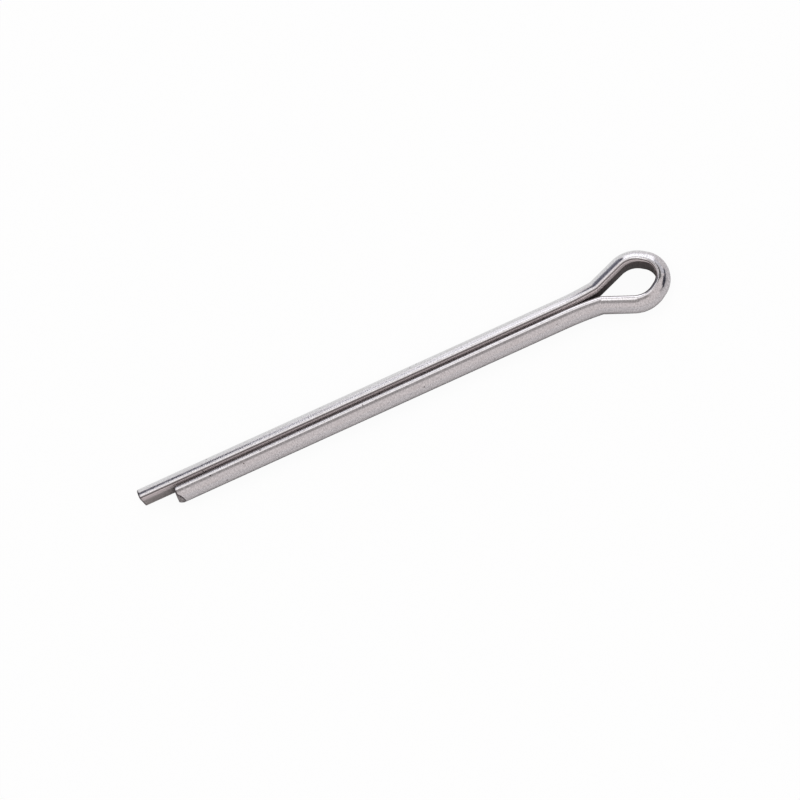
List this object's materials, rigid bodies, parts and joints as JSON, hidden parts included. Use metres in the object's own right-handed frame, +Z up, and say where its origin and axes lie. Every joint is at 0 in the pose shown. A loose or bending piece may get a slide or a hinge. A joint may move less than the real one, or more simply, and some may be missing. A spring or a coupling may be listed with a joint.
{
  "type": "cotter pin",
  "caption": "Split cotter pin of half-round steel wire, folded round a teardrop eye, with one leg longer than the other.",
  "frame": {"origin": "on the shank's axis, level with the shoulders that stop against the hole", "axes": "+X along the shank's axis towards the eye, with the legs along -X; the eye's loop lies in the XY plane; +Y towards the long leg; +Z up from the surface it lies on"},
  "size_m": [0.0687, 0.0077, 0.0036],
  "materials": {
    "wire": "satin, cold drawn"
  },
  "bodies": {
    "root": {"split_pin": "wire"}
  },
  "joints": []
}
